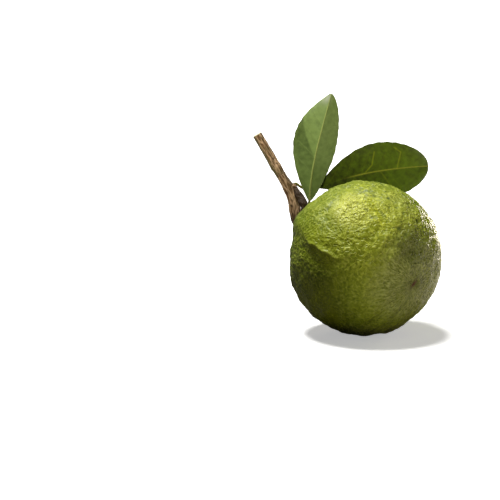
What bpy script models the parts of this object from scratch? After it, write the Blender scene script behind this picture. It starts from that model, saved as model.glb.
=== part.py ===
"""Sour orange, picked with a piece of its twig and two leaves.

The fruit lies on its side on a small flat spot. Its stem end points back and to the left,
its blossom scar forward and to the right, and the twig rises behind it. Units are metres,
+Z is up, and the origin is the middle of the flat spot.
"""

import math
import random

import bmesh
import bpy
from mathutils import Matrix, Vector

MM = 0.001

# Driving sizes of the fruit
FRUIT_DIAMETER = 76.5 * MM
FRUIT_LENGTH = 74 * MM  # along the stem axis
FLAT_SPOT_DEPTH = 0.8 * MM  # how much of the round is missing under the fruit
STEM_YAW = math.radians(36.5)  # of the stem end, from straight back towards the left
STEM_PITCH = math.radians(11)  # of the stem end, above level

# Driving sizes of the twig and leaves
TWIG_DIAMETER = 4.7 * MM
LEAF_THICKNESS = 0.7 * MM
LEAST_HALF_WIDTH = 0.4 * MM
PETIOLE_DIAMETERS = (1.6 * MM, 1.3 * MM)  # at the twig and at the blade
MIDRIB_END_DIAMETER = 0.6 * MM
MIDRIB_REACH = 0.9  # as a share of the blade's length
MIDRIB_OFFSET = 0.3 * MM  # of the midrib's middle from the blade's, towards the underside
TOUCH_GAP = 0.35 * MM  # left between pieces that grow from each other

# Where the twig, its spur and the petioles run, in millimetres, with the thickness there as a
# share of the twig's own. The twig's first two points follow from the fruit's stem end.
TWIG_ROUTE = (
    (-30.2, 40.5, 47.0, 0.98),
    (-33.2, 43.2, 49.6, 1.14),
    (-34.7, 44.8, 54.2, 1.24),
    (-36.1, 45.9, 61.5, 1.20),
    (-37.9, 46.0, 67.6, 1.24),
    (-40.7, 45.2, 72.3, 1.06),
    (-44.1, 44.8, 78.3, 1.12),
    (-48.8, 44.9, 87.7, 0.90),
    (-53.4, 44.7, 95.0, 0.98),
)
SPUR_ROUTE = (
    (-37.0, 46.5, 67.9, 0.60),
    (-34.7, 45.8, 66.4, 0.88),
    (-32.4, 44.3, 63.8, 0.94),
    (-30.8, 42.4, 61.0, 0.90),
    (-29.9, 40.8, 58.8, 0.66),
)
UPRIGHT_PETIOLE_ROUTE = ((-29.7, 40.5, 58.4), (-29.4, 40.0, 57.8), (-28.4, 39.2, 57.7), (-27.3, 38.5, 59.0))
SIDE_PETIOLE_ROUTE = ((-33.8, 46.6, 69.7), (-32.2, 46.5, 68.8), (-30.0, 46.0, 67.3), (-25.8, 45.3, 66.4))

# The fruit's relief, in its own frame: +Z is the stem end, and a meridian is an angle about it
RIBS = (  # meridian in degrees, height in millimetres, half widths before and after in degrees
    (-151, 2.7, 10, 27),
    (-97, 1.1, 24, 22),
    (-38, 1.1, 20, 28),
    (22, 0.9, 26, 18),
    (84, 1.0, 20, 28),
    (146, 0.8, 24, 14),
)
RIB_RISE = (math.radians(10), math.radians(42))  # from the stem, where the ribs swell up
RIB_FALL = (math.radians(62), math.radians(130))  # and where they sink into the round
RIB_TWIST = math.radians(13)  # how far the ribs lean over before they end
RIB_TWIST_SPAN = (math.radians(88), math.radians(124))
LUMP_LENGTH = 8.5 * MM
LUMP_HEIGHT = 0.30 * MM
LUMP_WAVES = 24
SCAR_DEPTH = 0.9 * MM
SCAR_REACH = math.radians(6)

# The seat that the calyx sits in, and the calyx
SEAT_HEIGHT = 35.3 * MM  # from the fruit's centre
SEAT_RADIUS = 5.9 * MM
SEAT_SLOPE = 0.33
CALYX_RADIUS = 4.6 * MM
CALYX_THICKNESS = 1.6 * MM
CALYX_LOBES = 5
CALYX_LOBE_SHARE = 0.18

FRUIT_MESH = (90, 48)  # round the axis, and from pole to pole
CALYX_MESH = (40, 8)
BLADE_MESH = (26, 8)  # along and across a leaf
MIDRIB_STEPS = 8
CURVE_STEPS = 5

CENTRE = Vector((0, 0, FRUIT_DIAMETER / 2 - FLAT_SPOT_DEPTH))
FRUIT_TURN = Matrix.Rotation(STEM_YAW, 3, "Z") @ Matrix.Rotation(STEM_PITCH - math.pi / 2, 3, "X")
STEM = FRUIT_TURN @ Vector((0, 0, 1))


def smoothstep(low, high, value):
    """0 below low, 1 above high, and a smooth rise between them."""
    share = min(max((value - low) / (high - low), 0), 1)
    return share * share * (3 - 2 * share)


def clear_scene():
    for obj in list(bpy.data.objects):
        bpy.data.objects.remove(obj)


def make_collection(name):
    collection = bpy.data.collections.new(name)
    bpy.context.scene.collection.children.link(collection)
    return collection


def make_material(name, colour, roughness):
    material = bpy.data.materials.new(name)
    material.use_nodes = True
    shader = material.node_tree.nodes["Principled BSDF"]
    shader.inputs["Base Color"].default_value = (*colour, 1)
    shader.inputs["Roughness"].default_value = roughness
    shader.inputs["Metallic"].default_value = 0
    return material


def add_object(name, mesh, collection, material=None):
    obj = bpy.data.objects.new(name, mesh)
    collection.objects.link(obj)
    if material:
        mesh.materials.clear()
        mesh.materials.append(material)
        mesh.shade_smooth()
    return obj


def add_helper(name, mesh, collection):
    """A cutter, or a shape that a Boolean joins to a part."""
    obj = add_object(name, mesh, collection)
    obj.hide_render = True
    obj.display_type = "WIRE"
    return obj


def mesh_from(name, shape):
    mesh = bpy.data.meshes.new(name)
    shape.to_mesh(mesh)
    shape.free()
    return mesh


def join_with(obj, helper, operation, name):
    boolean = obj.modifiers.new(name, "BOOLEAN")
    boolean.operation = operation
    boolean.solver = "EXACT"
    boolean.object = helper


def tube_mesh(name, points, radii):
    """A closed tube along a smooth curve through the points, with a radius at each."""
    curve = bpy.data.curves.new(name, "CURVE")
    curve.dimensions = "3D"
    curve.resolution_u = CURVE_STEPS
    curve.bevel_depth = 1
    curve.bevel_resolution = 3
    curve.use_fill_caps = True
    spline = curve.splines.new("BEZIER")
    spline.bezier_points.add(len(points) - 1)
    for knot, point, radius in zip(spline.bezier_points, points, radii):
        knot.co = point
        knot.radius = radius
        knot.handle_left_type = "AUTO"
        knot.handle_right_type = "AUTO"
    obj = bpy.data.objects.new(name, curve)
    bpy.context.scene.collection.objects.link(obj)
    graph = bpy.context.evaluated_depsgraph_get()
    mesh = bpy.data.meshes.new_from_object(obj.evaluated_get(graph))
    bpy.data.objects.remove(obj)
    bpy.data.curves.remove(curve)
    shape = bmesh.new()
    shape.from_mesh(mesh)
    bmesh.ops.remove_doubles(shape, verts=shape.verts, dist=1e-6)
    bmesh.ops.recalc_face_normals(shape, faces=shape.faces)
    shape.to_mesh(mesh)
    shape.free()
    mesh.name = name
    return mesh


# The fruit

def lump_waves():
    """Plane waves of one length and random directions, whose sum makes even, rounded lumps."""
    draw = random.Random(7)
    waves = []
    for _ in range(LUMP_WAVES):
        direction = Vector((draw.gauss(0, 1), draw.gauss(0, 1), draw.gauss(0, 1))).normalized()
        waves.append((direction * (2 * math.pi / LUMP_LENGTH), draw.uniform(0, 2 * math.pi)))
    return waves


def rib_height(polar, meridian):
    """How far the shoulder's ribs stand out: a bell curve across each, often steeper on one
    side, that swells up near the stem, leans over and sinks away past the fruit's waist."""
    lean = RIB_TWIST * smoothstep(*RIB_TWIST_SPAN, polar)
    height = 0
    for centre, rise, before, after in RIBS:
        away = math.remainder(meridian + lean - math.radians(centre), 2 * math.pi)
        half_width = math.radians(before if away < 0 else after)
        height += rise * MM * math.exp(-((away / half_width) ** 2))
    return height * smoothstep(*RIB_RISE, polar) * (1 - smoothstep(*RIB_FALL, polar))


def fruit_surface(direction, waves):
    """The point of the rind in this direction: a spheroid with ribs, lumps, the scar's dimple
    and, round the stem, the flat seat of the calyx at the bottom of a shallow funnel."""
    polar = math.acos(max(-1, min(1, direction.z)))
    meridian = math.atan2(direction.y, direction.x)
    side = math.hypot(direction.x, direction.y) / (FRUIT_DIAMETER / 2)
    end = direction.z / (FRUIT_LENGTH / 2)
    radius = 1 / math.hypot(side, end)
    radius += rib_height(polar, meridian)
    place = direction * radius
    lumps = sum(math.cos(wave.dot(place) + phase) for wave, phase in waves)
    radius += LUMP_HEIGHT * lumps / math.sqrt(len(waves))
    radius -= SCAR_DEPTH * math.exp(-(((math.pi - polar) / SCAR_REACH) ** 2))
    point = direction * radius
    funnel = SEAT_HEIGHT + SEAT_SLOPE * max(0, math.hypot(point.x, point.y) - SEAT_RADIUS)
    point.z = min(point.z, funnel)
    return point


def build_fruit(axis, collection, helpers):
    shape = bmesh.new()
    segments, rings = FRUIT_MESH
    bmesh.ops.create_uvsphere(shape, u_segments=segments, v_segments=rings, radius=1)
    waves = lump_waves()
    for vertex in shape.verts:
        vertex.co = fruit_surface(vertex.co.normalized(), waves)
    rind = make_material("rind", (0.19, 0.22, 0.03), 0.42)
    fruit = add_object("fruit", mesh_from("fruit", shape), collection, rind)
    fruit.parent = axis

    ground = bmesh.new()
    bmesh.ops.create_cube(ground, size=FRUIT_DIAMETER)
    bmesh.ops.translate(ground, verts=ground.verts, vec=(0, 0, -FRUIT_DIAMETER / 2))
    cutter = add_helper("ground_cutter", mesh_from("ground_cutter", ground), helpers)
    join_with(fruit, cutter, "DIFFERENCE", "flat spot")


# The calyx: the green button with five short lobes between fruit and twig

def build_calyx(axis, collection):
    shape = bmesh.new()
    segments, rings = CALYX_MESH
    bmesh.ops.create_uvsphere(shape, u_segments=segments, v_segments=rings, radius=1)
    base = SEAT_HEIGHT + TOUCH_GAP
    for vertex in shape.verts:
        reach = math.hypot(vertex.co.x, vertex.co.y)
        lobe = 1 + CALYX_LOBE_SHARE * reach * math.cos(CALYX_LOBES * math.atan2(vertex.co.y, vertex.co.x))
        vertex.co.x *= CALYX_RADIUS * lobe
        vertex.co.y *= CALYX_RADIUS * lobe
        vertex.co.z = base + CALYX_THICKNESS * (vertex.co.z + 1) / 2
    green = make_material("calyx_green", (0.20, 0.24, 0.05), 0.6)
    calyx = add_object("calyx", mesh_from("calyx", shape), collection, green)
    calyx.parent = axis


# The twig: the woody stalk that carries the fruit, with a side spur

def twig_points():
    """The whole route of the twig, from the calyx to the cut end, with a radius at each point."""
    start = SEAT_HEIGHT + CALYX_THICKNESS + 2 * TOUCH_GAP
    points = [CENTRE + STEM * start, CENTRE + STEM * (start + 4 * MM)]
    radii = [TWIG_DIAMETER / 2 * 0.98, TWIG_DIAMETER / 2 * 0.84]
    for x, y, z, share in TWIG_ROUTE:
        points.append(Vector((x, y, z)) * MM)
        radii.append(TWIG_DIAMETER / 2 * share)
    return points, radii


def build_twig(collection, helpers):
    bark = make_material("bark", (0.17, 0.12, 0.07), 0.85)
    twig = add_object("twig", tube_mesh("twig", *twig_points()), collection, bark)
    points = [Vector(place[:3]) * MM for place in SPUR_ROUTE]
    radii = [TWIG_DIAMETER / 2 * place[3] for place in SPUR_ROUTE]
    spur = add_helper("spur", tube_mesh("spur", points, radii), helpers)
    join_with(twig, spur, "UNION", "spur")


# The leaves

class Leaf:
    """A leaf's blade: a midrib curve, the way its seen face looks, and its outline.

    midrib      the four control points of a cubic curve, in millimetres
    faces       the way the seen face looks at the base and at the tip
    halves      of the left and the right half: the greatest width in millimetres, where along
                the leaf that is, and how blunt the oval is towards the base and the tip
    fold        how far the halves bend towards the seen face, in degrees
    ripple      the height of the edge's waves in millimetres
    waves       how many of them there are from base to tip
    under_seen  whether the seen face is the underside, which carries the raised midrib
    """

    def __init__(self, name, midrib, faces, halves, fold, ripple, waves, under_seen):
        self.name = name
        self.midrib = [Vector(point) * MM for point in midrib]
        self.faces = [Vector(face).normalized() for face in faces]
        self.halves = halves
        self.fold = math.radians(fold)
        self.ripple = ripple * MM
        self.waves = waves
        self.under = 1 if under_seen else -1

    def centre(self, along):
        a, b, c, d = self.midrib
        back = 1 - along
        return a * back**3 + b * 3 * back**2 * along + c * 3 * back * along**2 + d * along**3

    def frame(self, along):
        """The midrib's direction, the way across the leaf to its right, and its seen face."""
        step = 0.01  # of the length, each way
        ahead = (self.centre(min(along + step, 1)) - self.centre(max(along - step, 0))).normalized()
        face = self.faces[0].lerp(self.faces[1], along)
        across = ahead.cross(face).normalized()
        return ahead, across, across.cross(ahead)

    def half_width(self, along, side):
        """A smooth oval, never quite closed at its ends: a half turn of a sine, drawn out so
        that its crest is at the widest place, to a power that is less than 1 for a blunt end."""
        greatest, widest, blunt_base, blunt_tip = self.halves[side]
        turn = along ** (math.log(0.5) / math.log(widest))
        oval = max(0, math.sin(math.pi * turn)) ** (blunt_base if along < widest else blunt_tip)
        return LEAST_HALF_WIDTH + (greatest * MM - LEAST_HALF_WIDTH) * oval

    def point(self, along, out):
        """The blade's middle surface. out runs from -1 at the left edge to 1 at the right."""
        _, across, face = self.frame(along)
        width = abs(out) * self.half_width(along, int(out > 0))
        wave = math.sin(2 * math.pi * (self.waves * along + 0.3 * math.copysign(1, out)))
        lift = width * math.sin(self.fold) + self.ripple * out * out * wave * math.sin(math.pi * along)
        return self.centre(along) + across * math.copysign(width * math.cos(self.fold), out) + face * lift


UPRIGHT_LEAF = Leaf(
    "upright_leaf",
    midrib=((-26.9, 37.9, 61.2), (-26.3, 38.1, 80.6), (-20.6, 41.6, 98.0), (-15.3, 50.4, 116.1)),
    faces=((0.05, -1, 0.10), (0.25, -0.94, 0.40)),
    halves=((13.3, 0.57, 0.85, 0.92), (11.3, 0.55, 0.68, 0.55)),
    fold=-22,
    ripple=0.5,
    waves=2.2,
    under_seen=True,
)
SIDE_LEAF = Leaf(
    "side_leaf",
    midrib=((-22.2, 44.8, 67.1), (-4.2, 43.7, 75.0), (15.7, 40.7, 78.2), (34.8, 38.9, 79.4)),
    faces=((0.0, -1, 0.12), (0.10, -1, -0.05)),
    halves=((15.4, 0.58, 0.75, 0.5), (14.6, 0.58, 0.85, 0.5)),
    fold=10,
    ripple=0.6,
    waves=1.8,
    under_seen=False,
)


def blade_mesh(leaf):
    """The blade's middle surface, as triangles, so that both faces of its wall split alike."""
    shape = bmesh.new()
    along_steps, across_steps = BLADE_MESH
    bmesh.ops.create_grid(shape, x_segments=along_steps, y_segments=across_steps, size=1)
    for vertex in shape.verts:
        vertex.co = leaf.point((vertex.co.x + 1) / 2, vertex.co.y)
    bmesh.ops.triangulate(shape, faces=shape.faces)
    bmesh.ops.recalc_face_normals(shape, faces=shape.faces)
    return mesh_from(leaf.name, shape)


def rib_mesh(leaf, petiole_route):
    """The petiole, and the midrib that it runs on as, standing out of the blade's underside."""
    thick, thin = PETIOLE_DIAMETERS
    points = [Vector(place) * MM for place in petiole_route]
    radii = [(thick + (thin - thick) * i / len(points)) / 2 for i in range(len(points))]
    for i in range(MIDRIB_STEPS + 1):
        share = i / MIDRIB_STEPS
        along = MIDRIB_REACH * share
        _, _, face = leaf.frame(along)
        offset = MIDRIB_OFFSET * smoothstep(0, 1 / MIDRIB_STEPS, share)
        points.append(leaf.centre(along) + face * (leaf.under * offset))
        radii.append((thin + (MIDRIB_END_DIAMETER - thin) * share) / 2)
    return tube_mesh(leaf.name + "_rib", points, radii)


def build_leaf(leaf, petiole_route, green, collection, helpers):
    blade = add_object(leaf.name, blade_mesh(leaf), collection, green)
    wall = blade.modifiers.new("thickness", "SOLIDIFY")
    wall.thickness = LEAF_THICKNESS
    wall.offset = 0
    rib = add_helper(leaf.name + "_rib", rib_mesh(leaf, petiole_route), helpers)
    join_with(blade, rib, "UNION", "rib")


def main():
    clear_scene()
    parts = make_collection("sour_orange")
    helpers = make_collection("sour_orange_helpers")
    axis = bpy.data.objects.new("stem_axis", None)
    parts.objects.link(axis)
    axis.matrix_world = Matrix.Translation(CENTRE) @ FRUIT_TURN.to_4x4()
    build_fruit(axis, parts, helpers)
    build_calyx(axis, parts)
    build_twig(parts, helpers)
    green = make_material("leaf_green", (0.10, 0.14, 0.03), 0.5)
    build_leaf(UPRIGHT_LEAF, UPRIGHT_PETIOLE_ROUTE, green, parts, helpers)
    build_leaf(SIDE_LEAF, SIDE_PETIOLE_ROUTE, green, parts, helpers)


main()
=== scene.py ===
"""Looks of a sour orange, picked green with a piece of its twig and two leaves.

The pieces follow in the order in which they grow from each other: fruit, calyx, twig, leaves.
Shapes are worked out in millimetres and turned to metres as each mesh is made.
"""

import math
import random

import bmesh
import bpy
import numpy as np
from mathutils import Matrix, Vector


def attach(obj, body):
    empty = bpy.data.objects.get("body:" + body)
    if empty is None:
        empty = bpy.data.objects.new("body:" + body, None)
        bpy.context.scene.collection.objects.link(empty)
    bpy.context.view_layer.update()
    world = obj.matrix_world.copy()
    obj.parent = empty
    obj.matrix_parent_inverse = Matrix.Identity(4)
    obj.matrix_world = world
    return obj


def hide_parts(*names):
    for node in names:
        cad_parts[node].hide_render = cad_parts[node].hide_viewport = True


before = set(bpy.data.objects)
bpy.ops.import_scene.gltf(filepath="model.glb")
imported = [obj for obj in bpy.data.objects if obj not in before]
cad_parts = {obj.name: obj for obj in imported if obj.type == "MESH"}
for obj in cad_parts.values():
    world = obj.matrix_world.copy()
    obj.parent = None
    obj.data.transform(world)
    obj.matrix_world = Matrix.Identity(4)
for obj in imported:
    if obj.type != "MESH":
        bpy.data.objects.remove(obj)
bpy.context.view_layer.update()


# Camera
# A long lens looks along +Y from a little above, as the photograph does. The fruit lies right
# of the middle of the square picture, which is 250 mm wide at the fruit.
LENS = 120
SENSOR = 36
VIEW_WIDTH = 0.250
VIEW_ELEVATION = math.radians(10)
FRUIT_MIDDLE = Vector((0, 0, 0.03745))
AIM_RIGHT = -0.05775
AIM_UP = 0.0045

view_up = Vector((0, math.sin(VIEW_ELEVATION), math.cos(VIEW_ELEVATION)))
view_back = Vector((0, -math.cos(VIEW_ELEVATION), math.sin(VIEW_ELEVATION)))
camera_data = bpy.data.cameras.new("camera")
camera_data.lens = LENS
camera_data.sensor_width = SENSOR
camera = bpy.data.objects.new("camera", camera_data)
bpy.context.scene.collection.objects.link(camera)
aim = FRUIT_MIDDLE + Vector((AIM_RIGHT, 0, 0)) + view_up * AIM_UP
camera.location = aim + view_back * (VIEW_WIDTH * LENS / SENSOR)
camera.rotation_euler = (math.pi / 2 - VIEW_ELEVATION, 0, 0)
bpy.context.scene.camera = camera


# Studio
# A white paper floor under a wide soft light, a small warm panel low behind on the right that
# edges the fruit with light, and two weak lamps in front: a low one that leaves the fruit's left
# dark, and a high one for the twig and the leaves.
FLOOR_SIZE = 30
PAPER = "#F4F3F0"
PAPER_GLOW = 0.42
BOUNCE = ("#4C4840", "#F6ECD6")  # the light that the paper throws back, on the left and the right
BOUNCE_SPAN = (-0.02, 0.12)  # where along X the one turns into the other
WORLD_GLOW = 0.06
KEY_FROM = (-0.17, 0.12, 0.95)
KEY_STRENGTH = 6.0
KEY_ANGLE = math.radians(19)
PANEL_FROM = (0.42, 0.78, 0.085)
PANEL_POWER = 2.4
PANEL_WIDTH = 0.22
PANEL_HEIGHT = 0.17
PANEL_TINT = "#FFF3DE"
BEAM_FROM = Vector((-0.40, -0.69, 0.03))
BEAM_EDGE = Vector((-0.0115, -0.034, 0.030))
BEAM_RADIUS = 0.105
BEAM_INSIDE = 0.90  # how much of the radius lies between that edge and the beam's middle
BEAM_POWER = 14
LEAF_BEAM_FROM = Vector((-0.30, -0.74, 0.38))
LEAF_BEAM_AIM = Vector((-0.012, 0.045, 0.108))
LEAF_BEAM_RADIUS = 0.058
LEAF_BEAM_POWER = 24


def linear(colour):
    """A hex sRGB colour as linear red, green, blue and alpha: each channel c becomes c / 12.92
    where it is dark, and ((c + 0.055) / 1.055) to the power 2.4 elsewhere."""
    channels = [int(colour[i:i + 2], 16) / 255 for i in (1, 3, 5)]
    return (*[c / 12.92 if c <= 0.04045 else ((c + 0.055) / 1.055) ** 2.4 for c in channels], 1)


def add_node(material, kind, inputs=(), stops=(), **settings):
    """Adds a shader node. Settings are the node's own, inputs gives each socket its value or
    the socket that feeds it, and stops are a colour ramp's places and colours."""
    made = material.node_tree.nodes.new("ShaderNode" + kind)
    for name, value in settings.items():
        setattr(made, name, value)
    for socket, value in dict(inputs).items():
        if isinstance(value, bpy.types.NodeSocket):
            material.node_tree.links.new(value, made.inputs[socket])
        else:
            made.inputs[socket].default_value = value
    for i, (place, colour) in enumerate(stops):
        stop = made.color_ramp.elements[i] if i < 2 else made.color_ramp.elements.new(place)
        stop.position = place
        stop.color = linear(colour)
    return made


def new_material(name, **finish):
    """An empty material and its Principled shader. The finish gives sockets by name, with
    underscores for blanks."""
    material = bpy.data.materials.new(name)
    material.use_nodes = True
    shader = material.node_tree.nodes["Principled BSDF"]
    for socket, value in finish.items():
        shader.inputs[socket.replace("_", " ")].default_value = value
    return material, shader


def layered(material, colour, layers):
    """The colour with others laid over it in turn. Each layer gives where it lies, how much of
    what is below it hides there, and its own colour."""
    for where, cover, tone in layers:
        amount = add_node(material, "Math", {0: where, 1: cover}, operation="MULTIPLY").outputs[0]
        colour = add_node(material, "Mix", {0: amount, 6: colour, 7: tone}, data_type="RGBA").outputs[2]
    return colour


def add_light(name, kind, power, place, target=FRUIT_MIDDLE, **settings):
    """A lamp that stands at a place and looks at the target, both in metres. It is white unless
    the settings give it a colour."""
    data = bpy.data.lights.new(name, kind)
    data.energy = power
    for setting, value in settings.items():
        setattr(data, setting, value)
    lamp = bpy.data.objects.new(name, data)
    bpy.context.scene.collection.objects.link(lamp)
    lamp.location = place
    lamp.rotation_euler = (target - Vector(place)).to_track_quat("-Z", "Y").to_euler()
    lamp.visible_camera = False
    return lamp


# Paper: a plain matte white. What the camera sees of it glows a little, so that the floor is
# as pale as the backdrop, and what it throws back on the fruit fades towards the left
paper, paper_shader = new_material("matte_white_paper", Roughness=0.9)
seen = add_node(paper, "LightPath").outputs["Is Camera Ray"]
paper_where = add_node(paper, "TexCoord").outputs["Object"]
paper_axes = add_node(paper, "SeparateXYZ", {"Vector": paper_where})
bounce_share = add_node(
    paper, "MapRange",
    {"Value": paper_axes.outputs["X"], "From Min": BOUNCE_SPAN[0], "From Max": BOUNCE_SPAN[1]},
)
bounce = add_node(
    paper, "ValToRGB", {"Fac": bounce_share.outputs["Result"]}, stops=((0.0, BOUNCE[0]), (1.0, BOUNCE[1])),
)
paper_colour = add_node(
    paper, "Mix", {0: seen, 6: bounce.outputs["Color"], 7: linear(PAPER)}, data_type="RGBA",
)
paper.node_tree.links.new(paper_colour.outputs[2], paper_shader.inputs["Base Color"])
paper_shader.inputs["Emission Color"].default_value = (1, 1, 1, 1)
paper_glow = add_node(paper, "Math", {0: seen, 1: PAPER_GLOW}, operation="MULTIPLY")
paper.node_tree.links.new(paper_glow.outputs[0], paper_shader.inputs["Emission Strength"])
floor_mesh = bpy.data.meshes.new("floor")
floor_shape = bmesh.new()
bmesh.ops.create_grid(floor_shape, x_segments=1, y_segments=1, size=FLOOR_SIZE / 2)
floor_shape.to_mesh(floor_mesh)
floor_shape.free()
floor_mesh.materials.append(paper)
floor = bpy.data.objects.new("floor", floor_mesh)
bpy.context.scene.collection.objects.link(floor)

add_light("key_above", "SUN", KEY_STRENGTH, KEY_FROM, angle=KEY_ANGLE)
add_light(
    "edge_panel", "AREA", PANEL_POWER, PANEL_FROM,
    shape="RECTANGLE", size=PANEL_WIDTH, size_y=PANEL_HEIGHT, color=linear(PANEL_TINT)[:3],
)

# The low beam's left edge, where its light fades, is laid on a point of the rind
to_edge = BEAM_EDGE - BEAM_FROM
beam_right = to_edge.cross(Vector((0, 0, 1))).normalized()
low_beam = add_light(
    "low_beam", "SPOT", BEAM_POWER, BEAM_FROM, BEAM_EDGE + beam_right * BEAM_RADIUS * BEAM_INSIDE,
    spot_size=2 * math.atan(BEAM_RADIUS / to_edge.length), spot_blend=0.5, shadow_soft_size=0.01,
)
leaf_beam_angle = 2 * math.atan(LEAF_BEAM_RADIUS / (LEAF_BEAM_AIM - LEAF_BEAM_FROM).length)
leaf_beam = add_light(
    "leaf_beam", "SPOT", LEAF_BEAM_POWER, LEAF_BEAM_FROM, LEAF_BEAM_AIM,
    spot_size=leaf_beam_angle, spot_blend=0.3, shadow_soft_size=0.03,
)
for beam in (low_beam, leaf_beam):
    beam.visible_glossy = False

world = bpy.data.worlds.new("studio_white")
bpy.context.scene.world = world
world.use_nodes = True
backdrop = world.node_tree.nodes["Background"]
backdrop.inputs["Color"].default_value = (1, 1, 1, 1)
backdrop_seen = add_node(world, "LightPath").outputs["Is Camera Ray"]
shown = add_node(world, "Mix", {"Factor": backdrop_seen, "A": WORLD_GLOW, "B": 1.0})
world.node_tree.links.new(shown.outputs["Result"], backdrop.inputs["Strength"])
bpy.context.scene.view_settings.view_transform = "Standard"


# Fruit
# A whole fruit picked green. Its rind is waxy and leathery: swollen into ribs round the stem,
# crinkled over the upper cheek, smoother round the blossom scar, and pitted all over by its
# oil glands. It grew as one piece, and lies on the spot where it is a little flat.
MM = 0.001
FRUIT_DIAMETER = 76.5
FRUIT_LENGTH = 74
STEM_YAW = math.radians(36.5)
STEM_PITCH = math.radians(11)
RIBS = (  # meridian in degrees, height in millimetres, half widths before and after in degrees
    (-151, 2.7, 10, 27),
    (-97, 1.1, 24, 22),
    (-38, 1.1, 20, 28),
    (22, 0.9, 26, 18),
    (84, 1.0, 20, 28),
    (146, 0.8, 24, 14),
)
RIB_RISE = np.radians((10, 42))
RIB_FALL = np.radians((62, 130))
RIB_TWIST = math.radians(13)
RIB_TWIST_SPAN = np.radians((66, 118))
LUMP_LENGTH = 8.5
LUMP_HEIGHT = 0.30
LUMP_WAVES = 24
SCAR_DEPTH = 0.5
SCAR_REACH = math.radians(6)
SCAR_WAY = math.radians(122.6)  # the meridian along which the scar is drawn out
SCAR_LENGTH = 2.2
SCAR_WIDTH = 0.75
SEAT_HEIGHT = 35.3
SEAT_RADIUS = 5.9
SEAT_SLOPE = 0.33
SWELLS = (  # the way to each swelling or hollow, then how high it is, how wide and how tall, in mm
    ((0.55, -0.80, 0.24), -0.8, 8, 4.5),
    ((-0.20, -0.97, -0.11), 0.7, 10, 9),
    ((0.00, -0.60, 0.80), 0.4, 3.5, 3),
    ((0.10, -0.71, 0.70), -0.5, 3, 4),
)
WRINKLE_LENGTH = 3.0
WRINKLE_HEIGHT = 0.12
PORE_LENGTH = 3.6
PORE_DEPTH = 0.28
PORE_EDGE = (0.9, 1.9)  # the heights of the wave field where a pore starts and is full
FOLD_START = (88, -161)  # in degrees: how far from the stem, and the meridian
FOLD_LEAN = -0.09
FOLD_WAVER = 0.5
FOLD_WAVES = 31
FOLD_RISE = (84, 92)  # in degrees from the stem
FOLD_FALL = (111, 120)
FOLD_WIDTH = 1.3  # in degrees
FOLD_HEIGHT = 0.6
HOLLOW_OFFSET = 7
HOLLOW_WIDTH = 5
HOLLOW_DEPTH = 0.25

# Angles from the stem between which something comes or goes
WRINKLES_START = np.radians((9, 26))
WRINKLES_GROW = np.radians((28, 58))
WRINKLES_FADE = np.radians((130, 172))
STEM_END = np.radians((40, 86))
BLOSSOM_END = np.radians((95, 165))
STREAKS_START = np.radians((132, 162))

# Regions of the rind: the way to the middle of each from the middle of the fruit, and the
# cosines of the angles from that way where the region starts and where it is full
WRINKLED_CHEEK = ((-0.25, 0.10, 0.96), -0.50, 0.45)
SMOOTH_FLANK = ((-0.62, -0.75, -0.22), 0.75, 0.97)
SMOOTH_SHOULDER = ((-0.62, -0.46, 0.64), 0.80, 0.97)
PITTED_CHEEK = ((0.36, -0.53, 0.77), 0.80, 0.96)
PITTED_MIDDLE = ((0.36, -0.53, 0.77), 0.90, 0.98)
# The pale cheek and the spot in its middle carry a painted highlight, where the key light's highlight lies
# on the upper cheek
PAINTED_HIGHLIGHT_CHEEK = ((-0.21, -0.55, 0.81), 0.62, 0.98)
PAINTED_HIGHLIGHT_SPOT = ((-0.19, -0.62, 0.76), 0.93, 0.995)
WAXED_SPOT = ((-0.19, -0.62, 0.76), 0.96, 0.99)
WAXED_CHEEK = ((0.93, -0.32, 0.15), 0.68, 0.90)
YELLOW_CHEEK = ((0.02, -0.92, 0.38), 0.72, 0.98)
DUSKY_CHEEK = ((0.54, -0.77, 0.34), 0.94, 0.995)
UNDERSIDE = ((0, 0, -1), 0.70, 0.95)
YELLOW_BAND = ((-0.01, -0.54, 0.84), (0.14, -0.76, 0.64))  # the ways to its two ends
YELLOW_BAND_WIDTH = 0.085

# Patterns of the rind's material, in millimetres. Real oil glands are about 0.8 mm apart, and
# are drawn coarser so that they show
RIDGE_SPACING = 2.2
FINE_SPACING = 1.3
GLAND_SPACING = 1.3
STREAK_SPACING = 2.0
PATCH_SPACING = 14.3
RIND_RINGS = 216
RIND_AROUND = 400


def smoothstep(low, high, value):
    """0 below low, 1 above high, and 3 t squared less 2 t cubed between them."""
    share = np.clip((value - low) / (high - low), 0, 1)
    return share * share * (3 - 2 * share)


def lattice(rings, around):
    """The two parameters of each point of a closed skin. Rings are the values from one pole to
    the other. Each ring takes points all round, and the first and last take one, kept last."""
    ring, turn = np.meshgrid(rings[1:-1], 2 * np.pi * np.arange(around) / around, indexing="ij")
    return np.append(ring.ravel(), rings[[0, -1]]), np.append(turn.ravel(), [0, 0])


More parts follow.
